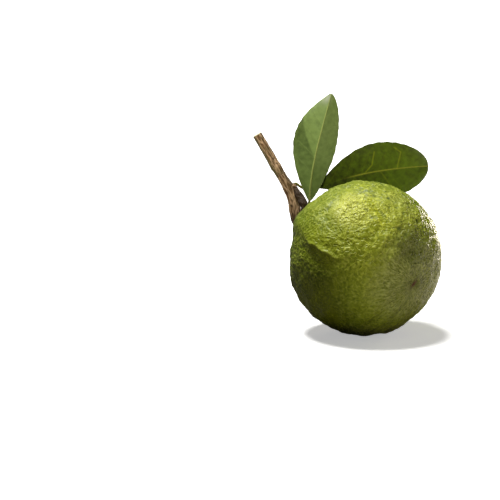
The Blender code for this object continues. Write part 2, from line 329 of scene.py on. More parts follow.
def skin(name, points, around, material, marks, sharp=180):
    """A closed mesh over a lattice: four-sided faces between rings, and a fan of triangles at
    each pole. Marks are numbers or vectors kept at the points for the material to read."""
    grid = np.arange(len(points) - 2).reshape(-1, around)
    beside = np.roll(grid, -1, axis=1)
    walls = np.stack([grid[:-1], beside[:-1], beside[1:], grid[1:]], axis=-1).reshape(-1, 4)
    first_pole, last_pole = np.full((2, around), [[len(points) - 2], [len(points) - 1]])
    first_fan = np.stack([beside[0], grid[0], first_pole], axis=-1)
    last_fan = np.stack([grid[-1], beside[-1], last_pole], axis=-1)
    mesh = bpy.data.meshes.new(name)
    mesh.from_pydata((points * MM).tolist(), [], [*walls.tolist(), *first_fan.tolist(), *last_fan.tolist()])
    for mark, values in marks.items():
        kind, field = ("FLOAT", "value") if values.ndim == 1 else ("FLOAT_VECTOR", "vector")
        attribute = mesh.attributes.new(mark, kind, "POINT")
        attribute.data.foreach_set(field, values.ravel().astype(np.float32))
    shape = bmesh.new()
    shape.from_mesh(mesh)
    bmesh.ops.recalc_face_normals(shape, faces=shape.faces)
    shape.to_mesh(mesh)
    shape.free()
    mesh.shade_smooth()
    mesh.set_sharp_from_angle(angle=math.radians(sharp))
    mesh.materials.append(material)
    piece = bpy.data.objects.new(name, mesh)
    bpy.context.scene.collection.objects.link(piece)
    return piece


def wave_sum(points, seed, length, count=60):
    """The sum at each point of plane waves of one length in random directions. It is taken over
    the root of half their number, so it is as often above 0 as below, mostly within -2 and 2."""
    draw = random.Random(seed)
    drawn = np.array([
        [draw.gauss(0, 1), draw.gauss(0, 1), draw.gauss(0, 1), draw.uniform(0, 2 * math.pi)]
        for _ in range(count)
    ])
    directions = drawn[:, :3] / np.linalg.norm(drawn[:, :3], axis=1, keepdims=True)
    waves = np.cos(points @ (directions * (2 * np.pi / length)).T + drawn[:, 3])
    return waves.sum(axis=1) / math.sqrt(count / 2)


def rib_height(polar, meridian):
    """A bell curve across each rib, often steeper on one side, that swells up near the stem,
    leans over and sinks away past the fruit's waist."""
    lean = RIB_TWIST * smoothstep(*RIB_TWIST_SPAN, polar)
    height = np.zeros_like(polar)
    for centre, rise, before, after in RIBS:
        away = (meridian + lean - math.radians(centre) + np.pi) % (2 * np.pi) - np.pi
        half_width = np.radians(np.where(away < 0, before, after))
        height += rise * np.exp(-((away / half_width) ** 2))
    return height * smoothstep(*RIB_RISE, polar) * (1 - smoothstep(*RIB_FALL, polar))


def in_region(ways, middle, start, full):
    """How far each way lies inside a region: 0 where the cosine of its angle to the region's
    middle is below the start, and 1 where it is above full."""
    return smoothstep(start, full, ways @ np.array(middle))


stem_upright = Matrix.Rotation(STEM_PITCH - math.pi / 2, 3, "X")
fruit_turn = np.array(Matrix.Rotation(STEM_YAW, 3, "Z") @ stem_upright)
fruit_middle = np.array(FRUIT_MIDDLE) / MM

polar, meridian = lattice(np.linspace(0, np.pi, RIND_RINGS + 2), RIND_AROUND)
from_axis = np.sin(polar)
outward = np.stack([from_axis * np.cos(meridian), from_axis * np.sin(meridian), np.cos(polar)], axis=-1)
ways = outward @ fruit_turn.T
side = from_axis / (FRUIT_DIAMETER / 2)
end = np.cos(polar) / (FRUIT_LENGTH / 2)
radius = 1 / np.hypot(side, end) + rib_height(polar, meridian)
lumps = wave_sum(outward * radius[:, None], seed=7, length=LUMP_LENGTH, count=LUMP_WAVES)
radius += LUMP_HEIGHT * lumps / math.sqrt(2)
radius -= SCAR_DEPTH * np.exp(-(((np.pi - polar) / SCAR_REACH) ** 2))
for way, height, wide, tall in SWELLS:
    level = np.cross((0, 0, 1), way) / np.hypot(way[0], way[1])
    sideways = ways @ level * FRUIT_DIAMETER / 2 / wide
    upwards = ways @ np.cross(way, level) * FRUIT_DIAMETER / 2 / tall
    radius += height * np.exp(-(sideways**2) - upwards**2) * (ways @ np.array(way) > 0)

# A band where the green has turned yellow: a bell curve of the distance from its middle line
band_first, band_last = np.array(YELLOW_BAND)
band = band_last - band_first
band_share = np.clip((ways - band_first) @ band / (band @ band), 0, 1)
off_band = np.linalg.norm(ways - band_first - band_share[:, None] * band, axis=1)
yellow_band = np.exp(-((off_band / YELLOW_BAND_WIDTH) ** 2))

# Wrinkles and pores: the larger ones are waves in the rind, the finer ones are left to its
# material
place = outward * radius[:, None]
wrinkled = smoothstep(*WRINKLES_START, polar) * (1 - 0.6 * smoothstep(*WRINKLES_FADE, polar))
wrinkled *= 0.6 + 0.4 * in_region(ways, *WRINKLED_CHEEK)
wrinkled *= 0.45 + 0.55 * smoothstep(*WRINKLES_GROW, polar)
wrinkled *= 1 - 0.6 * in_region(ways, *SMOOTH_FLANK)
wrinkled *= 1 - 0.5 * in_region(ways, *SMOOTH_SHOULDER)
wrinkles = wave_sum(place, seed=11, length=WRINKLE_LENGTH) * wrinkled
pore = smoothstep(*PORE_EDGE, wave_sum(place, seed=19, length=PORE_LENGTH))
pore *= (0.05 + 0.85 * in_region(ways, *PITTED_CHEEK)) * (1 - yellow_band)
radius += WRINKLE_HEIGHT * wrinkles - PORE_DEPTH * pore

# The fold under the largest rib: a narrow crest, and a hollow below it
fold_polar, fold_meridian = FOLD_START
fold_line = fold_meridian + FOLD_LEAN * (np.degrees(polar) - fold_polar)
fold_line += FOLD_WAVER * np.sin(polar * FOLD_WAVES)
off_fold = (np.degrees(meridian) - 360 * (meridian > np.pi) - fold_line) * from_axis
fold_run = smoothstep(*FOLD_RISE, np.degrees(polar)) * (1 - smoothstep(*FOLD_FALL, np.degrees(polar)))
fold = np.exp(-((off_fold / FOLD_WIDTH) ** 2)) * fold_run
hollow = np.exp(-(((off_fold + HOLLOW_OFFSET) / HOLLOW_WIDTH) ** 2)) * fold_run
radius += FOLD_HEIGHT * fold - HOLLOW_DEPTH * hollow

# The calyx sits in a funnel, and the underside is flat where the fruit rests
rind_points = outward * radius[:, None]
off_stem = np.hypot(rind_points[:, 0], rind_points[:, 1])
funnel = SEAT_HEIGHT + SEAT_SLOPE * np.maximum(0, off_stem - SEAT_RADIUS)
rind_points[:, 2] = np.minimum(rind_points[:, 2], funnel)
rind_points = rind_points @ fruit_turn.T + fruit_middle
rind_points[:, 2] = np.maximum(rind_points[:, 2], 0)

scar_along = FRUIT_DIAMETER / 2 * from_axis * np.cos(meridian - SCAR_WAY) / SCAR_LENGTH
scar_across = FRUIT_DIAMETER / 2 * from_axis * np.sin(meridian - SCAR_WAY) / SCAR_WIDTH
yellow_cheek = 0.4 * in_region(ways, *YELLOW_CHEEK)
# A painted highlight over the upper cheek, strongest in its middle spot, and a paler tone over the middle
# of the pitted cheek
pale_and_painted_highlight = 0.1 * in_region(ways, *PAINTED_HIGHLIGHT_CHEEK) + 1.1 * in_region(ways, *PAINTED_HIGHLIGHT_SPOT)
rind_marks = {
    "wrinkled": wrinkled,
    "pore": pore,
    "fold": fold,
    "scar": np.exp(-(scar_along**2) - scar_across**2) * (polar > np.pi / 2),
    "stem_end": 1 - smoothstep(*STEM_END, polar),
    "blossom_end": smoothstep(*BLOSSOM_END, polar),
    "streaked": smoothstep(*STREAKS_START, polar),
    "pale_and_painted_highlight": pale_and_painted_highlight + 0.35 * in_region(ways, *PITTED_MIDDLE),
    "yellow": yellow_cheek + (1 - yellow_cheek) * yellow_band,
    "dusky": in_region(ways, *DUSKY_CHEEK),
    "underside": in_region(ways, *UNDERSIDE),
    "waxed": np.maximum(in_region(ways, *WAXED_CHEEK), 0.6 * in_region(ways, *WAXED_SPOT)),
}

# Citrus rind: a waxed, leathery skin. The wax gives broad soft highlights that break up on the
# wrinkles and glands. Crests are paler than the furrows, partly in their own tone and partly as
# painted light and shade, and the blossom end is more olive.
rind, rind_shader = new_material("green_citrus_rind", IOR=1.42, Specular_IOR_Level=0.24)
rind_where = add_node(rind, "TexCoord").outputs["Object"]
rind_mark = {name: add_node(rind, "Attribute", attribute_name=name).outputs["Fac"] for name in rind_marks}

# Winding ridges along the lines where a noise is at its mean, over a finer noise
winding = add_node(
    rind, "TexNoise",
    {"Vector": rind_where, "Scale": 1000 / RIDGE_SPACING, "Detail": 0.0, "Distortion": 0.5},
)
off_mean = add_node(rind, "Math", {0: winding.outputs["Fac"], 1: 0.5}, operation="SUBTRACT")
off_line = add_node(rind, "Math", {0: off_mean.outputs[0]}, operation="ABSOLUTE")
ridge = add_node(
    rind, "MapRange", {"Value": off_line.outputs[0], "From Max": 0.15, "To Min": 1.0, "To Max": 0.0},
    interpolation_type="SMOOTHSTEP",
)
fine = add_node(rind, "TexNoise", {"Vector": rind_where, "Scale": 1000 / FINE_SPACING, "Detail": 1.0})
fine_part = add_node(rind, "MapRange", {"Value": fine.outputs["Fac"], "From Min": 0.34, "From Max": 0.66})
crinkle = add_node(
    rind, "Mix", {"Factor": 0.3, "A": ridge.outputs["Result"], "B": fine_part.outputs["Result"]},
)
# The fold's crest joins the crinkle, so it is raised in the relief and also painted pale as a highlight
crinkle_folded = add_node(
    rind, "Math", {0: crinkle.outputs["Result"], 1: rind_mark["fold"]}, operation="MAXIMUM",
)
fine_soft = add_node(
    rind, "MapRange", {"Value": fine_part.outputs["Result"], "To Min": 0.25, "To Max": 0.75},
)
relief = add_node(
    rind, "Mix",
    {"Factor": rind_mark["wrinkled"], "A": fine_soft.outputs["Result"], "B": crinkle_folded.outputs[0]},
).outputs["Result"]
# The relief's tone paints the furrows darker as shade and the crests paler as light, over their own tone
relief_light_and_shade_tone = add_node(
    rind, "ValToRGB", {"Fac": relief}, stops=((0.0, "#45540A"), (1.0, "#A3A94C"), (0.5, "#727E1A")),
)
yellow_tone = add_node(
    rind, "Mix", {0: relief, 6: linear("#747C00"), 7: linear("#C0C43C")}, data_type="RGBA",
)

# Streaks round the blossom scar: a noise on the rind unrolled round its axis, which closes in
# towards the scar as the meridians do
streaks = add_node(
    rind, "TexNoise",
    {
        "Vector": add_node(rind, "Attribute", attribute_name="unrolled").outputs["Vector"],
        "Scale": 1 / STREAK_SPACING, "Detail": 1.0, "Distortion": 0.4,
    },
)
streak_part = add_node(
    rind, "MapRange", {"Value": streaks.outputs["Fac"], "From Min": 0.36, "From Max": 0.64},
).outputs["Result"]
streak_tone = add_node(rind, "ValToRGB", {"Fac": streak_part}, stops=((0.0, "#4B4F20"), (1.0, "#8E9058")))
streak_relief = add_node(rind, "Math", {0: streak_part, 1: rind_mark["streaked"]}, operation="MULTIPLY")

# Oil glands are darker in the middle. Broad patches are a little yellower
glands = add_node(
    rind, "TexVoronoi", {"Vector": rind_where, "Scale": 1000 / GLAND_SPACING, "Randomness": 0.85},
    feature="SMOOTH_F1",
)
gland_middle = add_node(
    rind, "MapRange",
    {"Value": glands.outputs["Distance"], "From Min": 0.05, "From Max": 0.45, "To Min": 1.0, "To Max": 0.0},
)
patch = add_node(rind, "TexNoise", {"Vector": rind_where, "Scale": 1000 / PATCH_SPACING, "Detail": 3.0})
patch_part = add_node(
    rind, "MapRange", {"Value": patch.outputs["Fac"], "From Min": 0.42, "From Max": 0.68},
)

rind_colour = layered(rind, relief_light_and_shade_tone.outputs["Color"], (
    (patch_part.outputs["Result"], 0.60, linear("#858F14")),
    (rind_mark["stem_end"], 0.70, linear("#5A6A26")),
    # Painted highlight, pale yellow, over the upper cheek
    (rind_mark["pale_and_painted_highlight"], 0.60, linear("#BEC055")),
    (rind_mark["yellow"], 0.90, yellow_tone.outputs[2]),
    (rind_mark["blossom_end"], 0.60, linear("#6E711C")),
    (rind_mark["streaked"], 0.65, streak_tone.outputs["Color"]),
    (gland_middle.outputs["Result"], 0.30, linear("#43520C")),
    (rind_mark["pore"], 1.00, linear("#404F18")),
    (rind_mark["dusky"], 0.55, linear("#454A18")),
    (rind_mark["underside"], 0.60, linear("#5C5438")),
    (rind_mark["scar"], 1.00, linear("#5C2A22")),
))
rind.node_tree.links.new(rind_colour, rind_shader.inputs["Base Color"])

# Relief too fine for the mesh, in metres, higher where the wax is thick. Each bump tilts the
# normal that the one before it gives
rise = add_node(
    rind, "MapRange", {"Value": rind_mark["waxed"], "To Min": 0.0003, "To Max": 0.0008},
).outputs["Result"]
below = {}
for height, strength, most in (
    (relief, 1.0, rise),
    (streak_relief.outputs[0], 1.0, 0.0003),
    (glands.outputs["Distance"], 0.8, rise),
):
    bump = add_node(rind, "Bump", {"Height": height, "Strength": strength, "Distance": most, **below})
    below = {"Normal": bump.outputs["Normal"]}
rind.node_tree.links.new(below["Normal"], rind_shader.inputs["Normal"])
wax_rough = add_node(rind, "MapRange", {"Value": rind_mark["waxed"], "To Min": 0.45, "To Max": 0.32})
rind.node_tree.links.new(wax_rough.outputs["Result"], rind_shader.inputs["Roughness"])

rind_marks["unrolled"] = FRUIT_DIAMETER / 2 * np.stack([np.cos(meridian), np.sin(meridian), polar], axis=-1)
fruit = skin("orange_rind", rind_points, RIND_AROUND, rind, rind_marks)
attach(fruit, "root")
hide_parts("fruit")


# Calyx
# The green button between fruit and twig: five fleshy sepals that dried to points against the
# rind, round a raised ring where the stalk came off the flower. It grew from the fruit.
CALYX_BASE = SEAT_HEIGHT + 0.35
CALYX_RADIUS = 4.6
CALYX_THICKNESS = 1.6
CALYX_SHOULDER = 0.32  # the height over the edge, as a share of the thickness
CALYX_LOBES = 5
SEPAL_LENGTH = 0.26
RIM_RADIUS = 2.9
RIM_WIDTH = 0.55
RIM_HEIGHT = 0.35
GRAIN_LENGTH = 1.3
GRAIN_HEIGHT = 0.06
CALYX_SPOT_SPACING = 0.8
CALYX_RINGS = 42
CALYX_AROUND = 160

# A cushion with a flat underside: its height is a power of the cosine of the angle from the
# top, and the outline is drawn out to a point in the middle of each sepal
down, turn = lattice(np.linspace(0, np.pi, CALYX_RINGS), CALYX_AROUND)
to_tip = np.abs((turn * CALYX_LOBES / (2 * np.pi)) % 1 - 0.5) * 2
outline = CALYX_RADIUS * (1 - SEPAL_LENGTH + 2 * SEPAL_LENGTH * to_tip**1.6)
reach = np.sin(down)
calyx_side = outline * reach
above = down < np.pi / 2
steep = np.abs(np.cos(down))
dome = np.where(
    above, CALYX_SHOULDER + (1 - CALYX_SHOULDER) * steep**0.8, CALYX_SHOULDER * (1 - steep) ** 0.5,
)
rim = RIM_HEIGHT * np.exp(-(((calyx_side - RIM_RADIUS) / RIM_WIDTH) ** 2)) * above
calyx_height = CALYX_BASE + CALYX_THICKNESS * dome + rim
calyx_points = np.stack([calyx_side * np.cos(turn), calyx_side * np.sin(turn), calyx_height], axis=-1)
grain = wave_sum(calyx_points, seed=3, length=GRAIN_LENGTH, count=40)
calyx_points[:, 2] += GRAIN_HEIGHT * grain * reach
calyx_points[:, 2] = np.maximum(calyx_points[:, 2], CALYX_BASE)
calyx_points = calyx_points @ fruit_turn.T + fruit_middle

# Dried green calyx: matte, greyer and browner towards the sepals' points
calyx_skin, calyx_shader = new_material("dried_green_calyx", Roughness=0.7)
tip_mark = add_node(calyx_skin, "Attribute", attribute_name="tip").outputs["Fac"]
calyx_where = add_node(calyx_skin, "TexCoord").outputs["Object"]
calyx_noise = add_node(
    calyx_skin, "TexNoise", {"Vector": calyx_where, "Scale": 1000 / CALYX_SPOT_SPACING, "Detail": 3.0},
).outputs["Fac"]
dried = add_node(calyx_skin, "Math", {0: calyx_noise, 1: 0.5, 2: tip_mark}, operation="MULTIPLY_ADD")
calyx_colour = add_node(
    calyx_skin, "ValToRGB", {"Fac": dried.outputs[0]}, stops=((0.2, "#77833C"), (1.0, "#6B5A36")),
)
calyx_bump = add_node(calyx_skin, "Bump", {"Height": calyx_noise, "Strength": 0.6, "Distance": 0.0002})
calyx_skin.node_tree.links.new(calyx_colour.outputs["Color"], calyx_shader.inputs["Base Color"])
calyx_skin.node_tree.links.new(calyx_bump.outputs["Normal"], calyx_shader.inputs["Normal"])

calyx_tip = smoothstep(0.75, 1.05, calyx_side / CALYX_RADIUS)
calyx = skin("calyx_sepals", calyx_points, CALYX_AROUND, calyx_skin, {"tip": calyx_tip})
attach(calyx, "root")
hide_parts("calyx")


# Twig
# A shoot about two years old, cut off square with shears. Its bark is brown, with long flat
# ridges between darker furrows and some green left, a ring where growth paused, and a short
# dark spur near the fruit. Bark and wood grew as one piece.
TWIG_RADIUS = 2.35
TWIG_START = SEAT_HEIGHT + CALYX_THICKNESS + 0.7
TWIG_STRAIGHT = 4
TWIG_START_SHARES = (0.98, 0.84)  # the radius at both ends of the straight start
TWIG_ROUTE = (  # x, y and z in millimetres, and the radius as a share of the twig's
    (-30.2, 40.5, 47.0, 0.98),
    (-33.2, 43.2, 49.6, 1.14),
    (-33.9, 44.8, 54.2, 1.36),
    (-35.2, 45.9, 61.5, 1.36),
    (-37.8, 46.0, 67.6, 1.28),
    (-40.6, 45.2, 72.3, 1.12),
    (-44.2, 44.8, 78.3, 1.16),
    (-49.6, 44.9, 87.7, 1.12),
    (-54.0, 44.7, 95.2, 1.06),
)
SPUR_ROUTE = (
    (-36.0, 46.0, 67.6, 0.78),
    (-34.1, 45.6, 66.1, 0.84),
    (-32.5, 44.0, 63.5, 0.88),
    (-30.7, 42.4, 60.6, 0.92),
    (-29.5, 40.8, 58.2, 0.88),
    (-29.6, 40.0, 56.2, 0.74),
)
CUT_RINGS = (0.97, 0.90, 0.86, 0.70, 0.45, 0.22, 0)  # shares of the radius, over the cut face
HANDLE_SHARE = 1 / 2.5614
ROUTE_STEP = 0.28
BARK_AROUND = 96
BARK_UPRIGHT = np.array((0.8, 0.6, 0))
RIDGE_LENGTH = 2.4
RIDGE_STRETCH = 3.5
RIDGE_HEIGHT = 0.06
RIDGE_LIMIT = 1.5
FURROW_WIDTH = 0.30
FURROW_DEPTH = 0.20
NODE_RING = np.array((-44.2, 44.8, 78.3))
NODE_WIDTH = 1.1
NODE_HEIGHT = 0.25
BUD_SCAR = np.array((-42.9, 42.4, 77.9))
BUD_WIDTH = 1.0
BUD_HEIGHT = 0.45
KNOB_LENGTH = 5.0
KNOB_HEIGHT = 0.22
KNOB_LIMIT = 1.2
KNOB_FURROW_WIDTH = 0.4
KNOB_FURROW_DEPTH = 0.08
SPUR_STRETCH = 1.5
SPUR_DARKENS = (0.5, 3.0)  # in millimetres from its start
FACING = (0.1, 0.8)  # how far a point faces left or right where a mark starts and is full
GREEN_HEIGHTS = (66, 80)  # where it starts and is full, in millimetres above the ground
SHADE_FADE_HEIGHTS = (66, 84)
FOOT_HEIGHTS = (49, 57)

# Patterns of the bark's material, in millimetres. Its strands are drawn coarser than the real
# ones, which are about 0.5 mm apart, so that they show
FIBRE_SPACING = 0.769
STRAND_SPACING = 1.35
GREEN_SPACING = 5.263


def unit(vectors):
    """Each vector over its length."""
    return vectors / np.linalg.norm(vectors, axis=-1, keepdims=True)


def follow(route, radii):
    """A smooth curve through the route: between two of its points a cubic whose handles point
    along the mean of the directions on both sides, 0.39 of the way to the neighbour. Gives
    the curve's points, its direction and radius there, and the length run so far."""
    route = np.array(route, dtype=float)
    legs = np.diff(route, axis=0)
    lengths = np.linalg.norm(legs, axis=1)
    ways = unit(legs)
    heading = unit(np.vstack([ways[:1], ways[:-1] + ways[1:], ways[-1:]]))
    points, shares = [], []
    for i, length in enumerate(lengths):
        first, last = route[i], route[i + 1]
        after = first + heading[i] * length * HANDLE_SHARE
        before = last - heading[i + 1] * length * HANDLE_SHARE
        t = np.arange(0, 1, ROUTE_STEP / length)[:, None]
        leaving = first * (1 - t) ** 3 + after * 3 * t * (1 - t) ** 2
        arriving = before * 3 * t**2 * (1 - t) + last * t**3
        points.append(leaving + arriving)
        shares.append(i + t[:, 0])
    points = np.vstack([*points, route[-1:]])
    shares = np.append(np.concatenate(shares), len(lengths))
    ahead = unit(np.gradient(points, axis=0))
    run = np.append(0, np.cumsum(np.linalg.norm(np.diff(points, axis=0), axis=1)))
    return points, ahead, np.interp(shares, np.arange(len(radii)), radii), run


def round_ends(points, ahead, radii, run, at_end=True):
    """Adds half a ball to the ends of a curve, or to its start only, as rings whose radius is
    the sine, and whose distance the cosine, of a quarter turn in three steps."""
    turns = np.radians((0, 30, 60))
    points = np.vstack([points[0] - ahead[0] * radii[0] * np.cos(turns)[:, None], points])
    ahead = np.vstack([np.repeat(ahead[:1], 3, axis=0), ahead])
    radii = np.append(radii[0] * np.sin(turns), radii)
    run = np.append([run[0]] * 3, run)
    if at_end:
        turns = turns[::-1]
        points = np.vstack([points, points[-1] + ahead[-1] * radii[-1] * np.cos(turns)[:, None]])
        ahead = np.vstack([ahead, np.repeat(ahead[-1:], 3, axis=0)])
        radii = np.append(radii, radii[-1] * np.sin(turns))
        run = np.append(run, [run[-1]] * 3)
    return points, ahead, radii, run


def tube(curve, around, upright):
    """The parameters and points of a tube round a curve: the ring's number and turn, the way
    out from the middle, which starts square to both the curve and the upright, and the
    middle and radius of the ring at each point."""
    points, ahead, radii, _ = curve
    ring, turn = lattice(np.arange(len(points)), around)
    ring = ring.astype(int)
    across = unit(np.cross(ahead, upright))[ring]
    over = np.cross(across, ahead[ring])
    out = across * np.cos(turn)[:, None] + over * np.sin(turn)[:, None]
    return ring, turn, out, points[ring], radii[ring]


stem_way = fruit_turn @ np.array((0, 0, 1))
twig_route = [fruit_middle + stem_way * TWIG_START, fruit_middle + stem_way * (TWIG_START + TWIG_STRAIGHT)]
twig_route += [stop[:3] for stop in TWIG_ROUTE]
twig_radii = [TWIG_RADIUS * share for share in (*TWIG_START_SHARES, *(stop[3] for stop in TWIG_ROUTE))]
points, ahead, radii, run = round_ends(*follow(twig_route, twig_radii), at_end=False)
cut_count = len(CUT_RINGS)
points = np.vstack([points, np.repeat(points[-1:], cut_count, axis=0)])
ahead = np.vstack([ahead, np.repeat(ahead[-1:], cut_count, axis=0)])
whole = np.append(np.ones(len(radii)), CUT_RINGS)
radii = np.append(radii, radii[-1] * np.array(CUT_RINGS))
run = np.append(run, np.full(cut_count, run[-1]))

# Bark: furrows where a field of waves, stretched along the twig, passes through 0, and a ring
# and a bud scar that swell as bell curves of the distance from their middles
ring, turn, out, middle, radius = tube((points, ahead, radii, run), BARK_AROUND, BARK_UPRIGHT)
on_bark = whole[ring] == 1
bark_across = TWIG_RADIUS * np.stack([np.cos(turn), np.sin(turn)], axis=-1)
bark_unrolled = np.column_stack([bark_across, run[ring] / RIDGE_STRETCH])
bark_field = wave_sum(bark_unrolled, seed=23, length=RIDGE_LENGTH)
furrow = np.exp(-((bark_field / FURROW_WIDTH) ** 2)) * on_bark
ridges = np.clip(bark_field, -RIDGE_LIMIT, RIDGE_LIMIT) * on_bark
from_node = np.linalg.norm(middle - NODE_RING, axis=1)
from_bud = np.linalg.norm(middle + out * radius[:, None] - BUD_SCAR, axis=1)
node = np.exp(-((from_node / NODE_WIDTH) ** 2)) * on_bark
bud = np.exp(-((from_bud / BUD_WIDTH) ** 2)) * on_bark
bark_relief = RIDGE_HEIGHT * ridges - FURROW_DEPTH * furrow + NODE_HEIGHT * node + BUD_HEIGHT * bud
twig_points = middle + out * (radius + bark_relief * (radius > 0))[:, None]

# Green shows on the left of the upper stretch. Painted shade darkens the right side and the foot, less
# higher up
height = middle[:, 2]
painted_bark_shade = 0.7 * smoothstep(*FACING, out[:, 0]) * (1 - 0.4 * smoothstep(*SHADE_FADE_HEIGHTS, height))
twig_marks = {
    "furrow": furrow,
    "wood": 1.0 - on_bark,
    "core": whole[ring],
    "greenish": smoothstep(*FACING, -out[:, 0]) * smoothstep(*GREEN_HEIGHTS, height),
    "painted_bark_shade": np.maximum(painted_bark_shade, 0.8 * (1 - smoothstep(*FOOT_HEIGHTS, height))),
}

# Young citrus bark: matte and corky, brown, with paler strands, painted nearly black as shade on
# the right side, the foot and the spur, and with green showing through the thin parts. The cut
# shows pale wood round a darker pith.
bark, bark_shader = new_material("young_citrus_bark", Roughness=0.8)
bark_where = add_node(bark, "TexCoord").outputs["Object"]
bark_mark = {name: add_node(bark, "Attribute", attribute_name=name).outputs["Fac"] for name in twig_marks}
unrolled_where = add_node(bark, "Attribute", attribute_name="unrolled").outputs["Vector"]
fibre = add_node(
    bark, "TexNoise",
    {"Vector": unrolled_where, "Scale": 1 / FIBRE_SPACING, "Detail": 3.0, "Roughness": 0.6},
).outputs["Fac"]
bark_tone = add_node(bark, "ValToRGB", {"Fac": fibre}, stops=((0.34, "#5C4329"), (0.66, "#A07C55")))

# The strands are the edges of a cell pattern, bent by a noise and drawn out along the twig
strand_bend = add_node(
    bark, "TexNoise", {"Vector": unrolled_where, "Scale": 1 / STRAND_SPACING, "Detail": 1.0},
)
strand_bent = add_node(
    bark, "VectorMath", {0: strand_bend.outputs["Color"], 1: (0.9, 0.9, 0.9), 2: unrolled_where},
    operation="MULTIPLY_ADD",
)
strand_where = add_node(
    bark, "VectorMath", {0: strand_bent.outputs[0], 1: (1, 1, 0.5)}, operation="MULTIPLY",
)
net = add_node(
    bark, "TexVoronoi", {"Vector": strand_where.outputs[0], "Scale": 1 / STRAND_SPACING},
    feature="DISTANCE_TO_EDGE",
)
strand = add_node(
    bark, "MapRange",
    {"Value": net.outputs["Distance"], "From Min": 0.02, "From Max": 0.18, "To Min": 1, "To Max": 0},
).outputs["Result"]
green_noise = add_node(
    bark, "TexNoise", {"Vector": bark_where, "Scale": 1000 / GREEN_SPACING, "Detail": 2.0},
)
green_spread = add_node(
    bark, "MapRange",
    {"Value": green_noise.outputs["Fac"], "From Min": 0.52, "From Max": 0.66, "To Max": 0.3},
)
green_part = add_node(
    bark, "Math", {0: bark_mark["greenish"], 1: 0.75, 2: green_spread.outputs["Result"]},
    operation="MULTIPLY_ADD",
)
wood_tone = add_node(
    bark, "ValToRGB", {"Fac": bark_mark["core"]},
    stops=((0.0, "#8F8150"), (1.0, "#7B6A4A"), (0.2, "#D8D3AE"), (0.9, "#C9C79A")),
)
bark_colour = layered(bark, bark_tone.outputs["Color"], (
    (strand, 1.0, linear("#E4BC90")),
    (bark_mark["furrow"], 0.6, linear("#4A3622")),
    (green_part.outputs[0], 1.0, linear("#6C6C42")),
    # Painted shade, nearly black, on the right side, the foot and the spur
    (bark_mark["painted_bark_shade"], 0.9, linear("#2E1F0B")),
    (bark_mark["wood"], 1.0, wood_tone.outputs["Color"]),
))
bark.node_tree.links.new(bark_colour, bark_shader.inputs["Base Color"])
bark_height = add_node(bark, "Math", {0: strand, 1: 0.6, 2: fibre}, operation="MULTIPLY_ADD")
bark_bump = add_node(bark, "Bump", {"Height": bark_height.outputs[0], "Strength": 0.9, "Distance": 0.0004})
bark.node_tree.links.new(bark_bump.outputs["Normal"], bark_shader.inputs["Normal"])

twig_marks["unrolled"] = bark_unrolled
twig = skin("twig_bark", twig_points, BARK_AROUND, bark, twig_marks, sharp=50)
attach(twig, "root")
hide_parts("twig")

# The spur is knobbly, from the leaves that it carried before, and painted darker as shade
spur_route = [stop[:3] for stop in SPUR_ROUTE]
spur_curve = round_ends(*follow(spur_route, [TWIG_RADIUS * stop[3] for stop in SPUR_ROUTE]))
ring, turn, out, middle, radius = tube(spur_curve, BARK_AROUND, BARK_UPRIGHT)
spur_run = spur_curve[3][ring]
knobs = wave_sum(middle + out * radius[:, None], seed=29, length=KNOB_LENGTH, count=40)
spur_furrow = 0.7 * np.exp(-((knobs / KNOB_FURROW_WIDTH) ** 2))
spur_relief = KNOB_HEIGHT * np.clip(knobs, -KNOB_LIMIT, KNOB_LIMIT) - KNOB_FURROW_DEPTH * spur_furrow
spur_points = middle + out * (radius + spur_relief * (radius > 0))[:, None]
spur_across = TWIG_RADIUS * np.stack([np.cos(turn), np.sin(turn)], axis=-1)
spur_marks = {
    "furrow": spur_furrow,
    "wood": np.zeros_like(turn),
    "core": np.ones_like(turn),
    "greenish": np.zeros_like(turn),
    # Painted shade along the spur, darkest past its start
    "painted_bark_shade": 0.45 + 0.6 * smoothstep(*SPUR_DARKENS, spur_run),
    "unrolled": np.column_stack([spur_across, spur_run / SPUR_STRETCH]),
}
spur = skin("twig_spur", spur_points, BARK_AROUND, bark, spur_marks)
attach(spur, "root")
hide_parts("twig")


# Leaves
# Two leathery citrus leaves: one stands up from the spur and shows its dull, greyish underside,
# with painted shade on one margin, the other leans to the right and shows its glossy upper side.
# Each grew with its stalk and midrib as one piece.
LEAF_THICKNESS = 0.5
LEAST_HALF_WIDTH = 0.4
PETIOLE_DIAMETERS = (1.4, 1.3)
MIDRIB_END_DIAMETER = 0.3
MIDRIB_REACH = 0.9
MIDRIB_OFFSET = 0.3
MIDRIB_STEPS = 8
MIDRIB_WIDTHS = (0.42, 0.18)  # of its yellowish line, at the base and at the tip
MIDRIB_SHOWS = (0.22, 0.40)  # how far along the upper side that line starts and is full
MIDRIB_PALES = (8, 22)  # in millimetres past the petiole, where the line starts and is full
PETIOLE_ENDS = (-1.5, 3)  # likewise, where its brown starts to fade and is gone
SHOULDER_WIDTH = 1.1
SHOULDER_HEIGHT = 0.16
MARGIN_START = 0.7  # how far out the blade starts to thin
VEIN_WIDTH = 0.32
VEIN_HEIGHT = 0.10
VEIN_START = 0.10
VEIN_STEP = 0.075
VEIN_COUNT = 11
SCALLOP_HEIGHT = 0.14
SCALLOPS = 11
LEAF_RINGS = 220
LEAF_AROUND = 200
STALK_AROUND = 24
STALK_UPRIGHT = np.array((0.15, 0.95, 0.27))
UPRIGHT_PETIOLE_ROUTE = ((-29.7, 40.5, 58.4), (-29.4, 40.0, 57.8), (-28.4, 39.2, 57.7), (-27.3, 38.5, 59.0))
SIDE_PETIOLE_ROUTE = (
    (-35.4, 46.3, 68.6),
    (-33.9, 46.4, 69.2),
    (-32.3, 46.3, 68.3),
    (-30.2, 46.0, 67.0),
    (-25.8, 45.3, 66.4),
)
CREASE_AT_MIDRIB = 0.3984  # how far along the leaf the crease starts
CREASE_AT_MARGIN = 0.7647
MOTTLE_SPACING = 2.381


